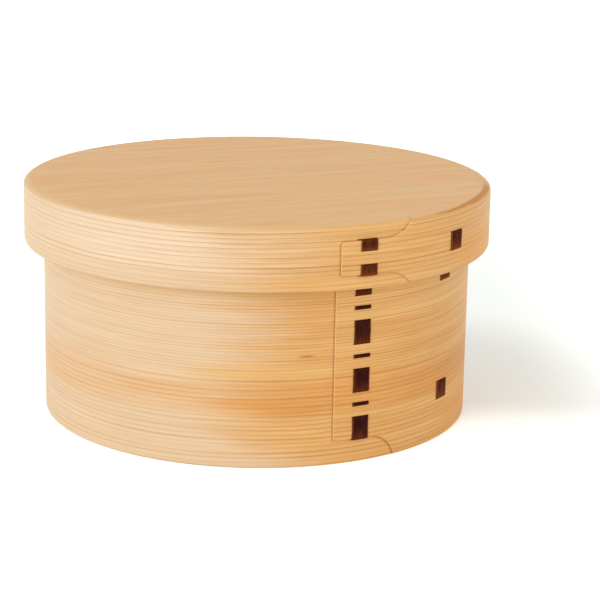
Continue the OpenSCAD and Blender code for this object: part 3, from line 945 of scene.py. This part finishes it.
def cedar_materials(tub_shape, lid_shape):
    rings, sapwood_and_sheen = growth_rings_group(), sapwood_and_sheen_group()
    lap_groups = seam_shade_group(), shoulder_shade_group(), painted_foot_bounce_group(), pared_highlight_group()
    side = {"Lean": 0.12, "Wander": 0.4, "Line Width": 0.36, "fibre": 0.44, "gloss": 0.3,
            "pale": SIDE_PALE, "ground": SIDE_GROUND, "dark": SIDE_LATEWOOD}
    tub = dict(side, rings=tub_rings, contrast=0.87, quiet=0.52, tinge=tub_warm_band,
               sapwood_and_sheen=pale_stretch(sapwood_and_sheen, TUB_R, 20.0),
               marks=[small_streak, painted_bounce_under_lid,
                      *lap_marks(lap_groups, tub_shape, (9.9, 85.0), 0.75, (9.0, 26.0))])
    lid = dict(side, rings=even_rings(1.95), contrast=0.95, quiet=0.56, tinge=painted_lid_sheen,
               sapwood_and_sheen=pale_stretch(sapwood_and_sheen, LID_R, 0.0),
               marks=[lip_top, lip_line,
                      *lap_marks(lap_groups, lid_shape, (80.0, 94.0), 0.3, (82.0, 93.0))])
    board = {"Lean": 0.5, "Wander": 0.9, "Line Width": 0.5, "fibre": 0.3, "gloss": 0.2,
             "pale": BOARD_PALE, "ground": BOARD_GROUND, "dark": BOARD_LATEWOOD,
             "rings": even_rings(3.1), "contrast": 0.3, "tinge": mottled, "marks": []}
    return cedar("tub_cedar", rings, tub), cedar("lid_cedar", rings, lid), cedar("board_cedar", rings, board)


def bark_figure_group():
    """Fine streaks along a strip of cherry bark, clouds of tone, and the share that turns it reddish: real
    wear along its edges and painted warm bounce light near each stitch's lower end.
    """
    group, w, given, out = new_group("bark_figure", {"Place": None, "Wear And Bounce": 0.0},
                                     ["Streak", "Cloud", "Rubbed And Bounce"])
    streak = w.noise(given["Place"], (2.4, 1.0, 0.22), 4.0, 0.62)
    edge = w.plus(given["Wear And Bounce"], w.sway(streak, 1.2))
    w.feed(out["Streak"], streak)
    w.feed(out["Cloud"], w.noise(given["Place"], (0.35, 1.0, 0.3), 3.0))
    w.feed(out["Rubbed And Bounce"], w.ease(edge, 0.1, 1.0, 0.0, 0.75))
    return group


def cherry_bark(name, figure_group, dark, brown, streaks, rust_and_bounce):
    """Smooth cherry bark, reddish brown with real wear along its edges and with painted warm bounce light
    near each stitch's lower end.
    """
    material, w, shader = new_material(name)
    figure = w.group(figure_group, {"Place": w.attribute("grain", "Vector"), "Wear And Bounce": w.attribute("wear_and_bounce")})
    colour = w.blend(w.ease(figure["Cloud"], 0.3, 0.7), dark, brown)
    colour = w.blend(w.ease(figure["Streak"], 0.52, 0.72, 0.0, 0.5), colour, streaks)
    w.feed(shader.inputs["Base Color"], w.blend(figure["Rubbed And Bounce"], colour, rust_and_bounce))
    w.feed(shader.inputs["Roughness"], w.ease(figure["Streak"], 0.3, 0.7, 0.5, 0.68))
    shader.inputs["Specular IOR Level"].default_value = 0.02
    bump = w.add("ShaderNodeBump", {"Strength": 0.5, "Distance": 0.06 * MM, "Height": figure["Streak"]})
    w.feed(shader.inputs["Normal"], bump.outputs["Normal"])
    return material


def dress(piece, material, body, node):
    piece.data.materials.append(material)
    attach(piece, body)
    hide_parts(node)


def lace(hoop, body, strips):
    """Bark strips of one body, each given as (node, stitches, middle, width, seed, bark)."""
    for node, stitches, mid, width, seed, bark in strips:
        strip = bark_strip(node.replace(body, body + "_bark", 1), hoop, stitches, mid, width, seed)
        dress(strip, bark, body, node)


def make_tub(hoop, side, board, dark_bark, brown_bark):
    dress(bent_board("tub_bent_side", hoop), side, "tub", "tub_side_band")
    bottom = flat_board("tub_bottom", hoop.seat_r - SEAM, BOTTOM_LOW, BOTTOM_TOP, 0.1, 8, 340)
    dress(bottom, board, "tub", "tub_bottom_board")
    lace(hoop, "tub", (("tub_seam_lacing", TUB_LACING, LACE_MID, LACE_W, 11, dark_bark),
                       ("tub_end_stitch_lower", [TUB_END_LOWER], END_MID, END_W, 23, brown_bark),
                       ("tub_end_stitch_upper", [TUB_END_UPPER], END_MID, END_W, 37, brown_bark)))


def make_lid(hoop, side, board, bark):
    dress(bent_board("lid_bent_side", hoop), side, "lid", "lid_side_band")
    top = flat_board("lid_top", hoop.seat_r - SEAM, TUB_H, LID_TOP, 0.05, 23, 120)
    dress(top, board, "lid", "lid_board")
    lace(hoop, "lid", (("lid_seam_lacing", LID_LACING, LACE_MID, LACE_W, 51, bark),
                       ("lid_end_stitch", [LID_END], END_MID, END_W, 67, bark)))


def add_camera():
    """Camera at the photograph's viewing angle, as fitted to the rims of the lid and the tub."""
    focal, pitch, roll, distance = 2022.159, 0.2531, -0.0134, 882.881
    centre_x, centre_y, image, sensor = 256.185, 290.180, 600, 36
    target = Vector((0, 0, 50.24))
    away = Vector((0, -math.cos(pitch), math.sin(pitch)))
    forward, right = -away, Vector((1, 0, 0))
    up = right.cross(forward)
    a = math.atan((centre_x - image / 2) / focal)
    b = math.atan((image / 2 - centre_y) / focal)
    right, forward = (math.cos(a) * right + math.sin(a) * forward,
                      math.cos(a) * forward - math.sin(a) * right)
    up, forward = (math.cos(b) * up + math.sin(b) * forward,
                   math.cos(b) * forward - math.sin(b) * up)
    right, up = (math.cos(roll) * right - math.sin(roll) * up,
                 math.sin(roll) * right + math.cos(roll) * up)
    data = bpy.data.cameras.new("camera")
    data.sensor_width = sensor
    data.lens = focal * sensor / image
    data.clip_start, data.clip_end = 0.01, 20
    camera = bpy.data.objects.new("camera", data)
    place = Matrix((right, up, -forward)).transposed().to_4x4()
    place.translation = (target + away * distance) * MM
    camera.matrix_world = place
    bpy.context.scene.collection.objects.link(camera)
    bpy.context.scene.camera = camera


def area_light(name, place, toward, size, power, colour):
    data = bpy.data.lights.new(name, "AREA")
    data.shape, data.size, data.energy, data.color = "DISK", size, power, colour
    lamp = bpy.data.objects.new(name, data)
    lamp.location = place
    lamp.rotation_euler = (Vector(toward) - Vector(place)).to_track_quat("-Z", "Y").to_euler()
    bpy.context.scene.collection.objects.link(lamp)


def seen_directly(w):
    """1 where the eye, a reflection or glass looks straight at a surface."""
    path = w.add("ShaderNodeLightPath").outputs
    first = w.math("MAXIMUM", path["Is Camera Ray"], path["Is Glossy Ray"])
    return w.math("MAXIMUM", first, path["Is Transmission Ray"])


def light_studio():
    world = bpy.data.worlds.new("studio")
    world.use_nodes = True
    bpy.context.scene.world = world
    w = Wiring(world.node_tree)
    ground = world.node_tree.nodes["Background"]
    ground.inputs["Color"].default_value = (1, 1, 1, 1)
    w.feed(ground.inputs["Strength"], w.ease(seen_directly(w), 0.0, 1.0, 0.66, 1.0))
    area_light("window", (-0.84, -1.31, 0.42), (0, 0, 0.05), 0.9, 8.0, (0.985, 1.0, 1.0))
    area_light("side_window", (-1.33, -0.30, 0.30), (0, 0, 0.06), 1.0, 4.6, (0.85, 0.975, 1.0))
    area_light("reflector", (1.2, -1.0, 0.45), (0, 0, 0.05), 1.2, 7.2, (1.0, 0.955, 0.88))


def lay_floor():
    """Pale floor that keeps its shadow. Where it is seen it glows, most of all far from the tub and least
    just behind it towards the right, so the glow paints where the shadow shows, and its green tint tints
    that shadow.
    """
    bpy.ops.mesh.primitive_plane_add(size=8)
    floor = bpy.context.object
    floor.name = "floor"
    material, w, shader = new_material("pale_floor")
    shader.inputs["Base Color"].default_value = (0.80, 0.80, 0.79, 1)
    shader.inputs["Roughness"].default_value = 0.9
    shader.inputs["Specular IOR Level"].default_value = 0.0
    shader.inputs["Emission Color"].default_value = (0.93, 1.0, 0.93, 1)
    place = w.add("ShaderNodeNewGeometry").outputs["Position"]
    away = w.add("ShaderNodeVectorMath", {0: place}, operation="LENGTH").outputs["Value"]
    parts = w.parts(place)
    glow = w.plus(w.ease(parts["Y"], -0.05, 0.005, 0.6, 0.24), w.ease(away, 0.135, 0.2, 0.0, 0.14),
                  w.ease(parts["X"], -0.10, 0.0, 0.35, 0.0), w.ease(parts["X"], 0.12, 0.19, 0.0, 0.2),
                  w.ease(away, 0.2, 1.0, 0.0, 0.75))
    w.feed(shader.inputs["Emission Strength"], w.times(seen_directly(w), glow))
    floor.data.materials.append(material)


add_camera()
light_studio()
lay_floor()
tub_shape, lid_shape = tub_hoop(), lid_hoop()
tub_side, lid_side, board_wood = cedar_materials(tub_shape, lid_shape)
bark_figure = bark_figure_group()
dark_bark = cherry_bark("dark_cherry_bark", bark_figure, (0.025, 0.006, 0.005, 1), (0.045, 0.009, 0.006, 1),
                        (0.085, 0.018, 0.008, 1), (0.17, 0.036, 0.010, 1))
brown_bark = cherry_bark("brown_cherry_bark", bark_figure, (0.045, 0.009, 0.005, 1), (0.11, 0.022, 0.006, 1),
                         (0.18, 0.042, 0.011, 1), (0.27, 0.068, 0.014, 1))
make_tub(tub_shape, tub_side, board_wood, dark_bark, brown_bark)
make_lid(lid_shape, lid_side, board_wood, brown_bark)
bpy.context.scene.view_settings.view_transform = "Standard"
